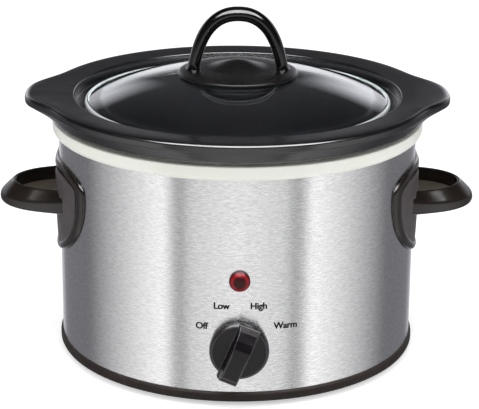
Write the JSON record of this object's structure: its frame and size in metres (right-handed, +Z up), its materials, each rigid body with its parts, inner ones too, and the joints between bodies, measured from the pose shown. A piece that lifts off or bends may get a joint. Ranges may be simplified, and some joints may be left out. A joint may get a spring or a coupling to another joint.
{
  "type": "slow cooker",
  "caption": "Round slow cooker with a brushed steel housing, loop side handles, a lift-out stoneware crock with lug ears, a domed glass lid and a rotary heat knob.",
  "frame": {"origin": "under the middle of the feet, on the surface that the cooker stands on", "axes": "+Z up; -Y towards the control knob at the front; +X along the side handles, to the right as seen from the front"},
  "size_m": [0.307, 0.2566, 0.2218],
  "materials": {
    "brushed_shell": "fine horizontal brushing, satin",
    "base_black": "moulded black plastic, satin",
    "foot_rubber": "matt black rubber",
    "collar_cream": "cream white, semi-gloss",
    "well_steel": "plain aluminised sheet",
    "band_mica": "glass-cloth covered heating band",
    "strap_steel": "plain spring steel",
    "wrap_fibre": "pressed glass fibre blanket",
    "plated_steel": "zinc plated",
    "fuse_ceramic": "matt ceramic",
    "switch_plastic": "black moulded plastic",
    "lens_red": "clear red moulding",
    "lamp_glass": "small neon bulb",
    "handle_black": "black phenolic plastic, semi-gloss",
    "gland_rubber": "matt black",
    "block_plastic": "cream moulded plastic",
    "brass": "plain brass",
    "knob_black": "black moulded plastic, satin",
    "crock_glaze": "glossy black glaze",
    "clear_glass": "clear tempered glass, polished edge",
    "lid_black": "high-gloss black phenolic plastic",
    "gasket_rubber": "grey silicone"
  },
  "bodies": {
    "base": {"outer_shell": "brushed_shell", "base_pan": "base_black", "rubber_feet": "foot_rubber", "rim_collar": "collar_cream", "heater_well": "well_steel", "heating_band": "band_mica", "band_straps": "strap_steel", "insulation_wrap": "wrap_fibre", "tie_bracket": "plated_steel", "tie_bolt": "plated_steel", "tie_nut": "plated_steel", "thermal_fuse": "fuse_ceramic", "fuse_clip": "strap_steel", "rotary_switch": "switch_plastic", "switch_nut": "plated_steel", "indicator_lens": "lens_red", "neon_lamp": "lamp_glass", "lamp_clip": "strap_steel", "left_handle": "handle_black", "right_handle": "handle_black", "handle_screws": "plated_steel", "cord_gland": "gland_rubber", "gland_nut": "switch_plastic", "terminal_block": "block_plastic", "terminal_screws": "brass"},
    "knob": {"switch_shaft": "plated_steel", "control_knob": "knob_black"},
    "crock": {"crock": "crock_glaze"},
    "lid": {"glass_lid": "clear_glass", "lid_handle": "lid_black", "lid_gasket": "gasket_rubber", "lid_washer": "plated_steel", "lid_screw": "plated_steel"}
  },
  "joints": [
    {"name": "knob_turn", "type": "hinge", "parent": "base", "child": "knob", "pos_m": [0, -0.12, 0.0378], "axis": [0, -1, 0], "range_deg": [-37, 81]},
    {"name": "crock_lift", "type": "slide", "parent": "base", "child": "crock", "axis": [0, 0, 1], "range_m": [0, 0.15]},
    {"name": "lid_lift", "type": "slide", "parent": "crock", "child": "lid", "axis": [0, 0, 1], "range_m": [0, 0.08]}
  ]
}
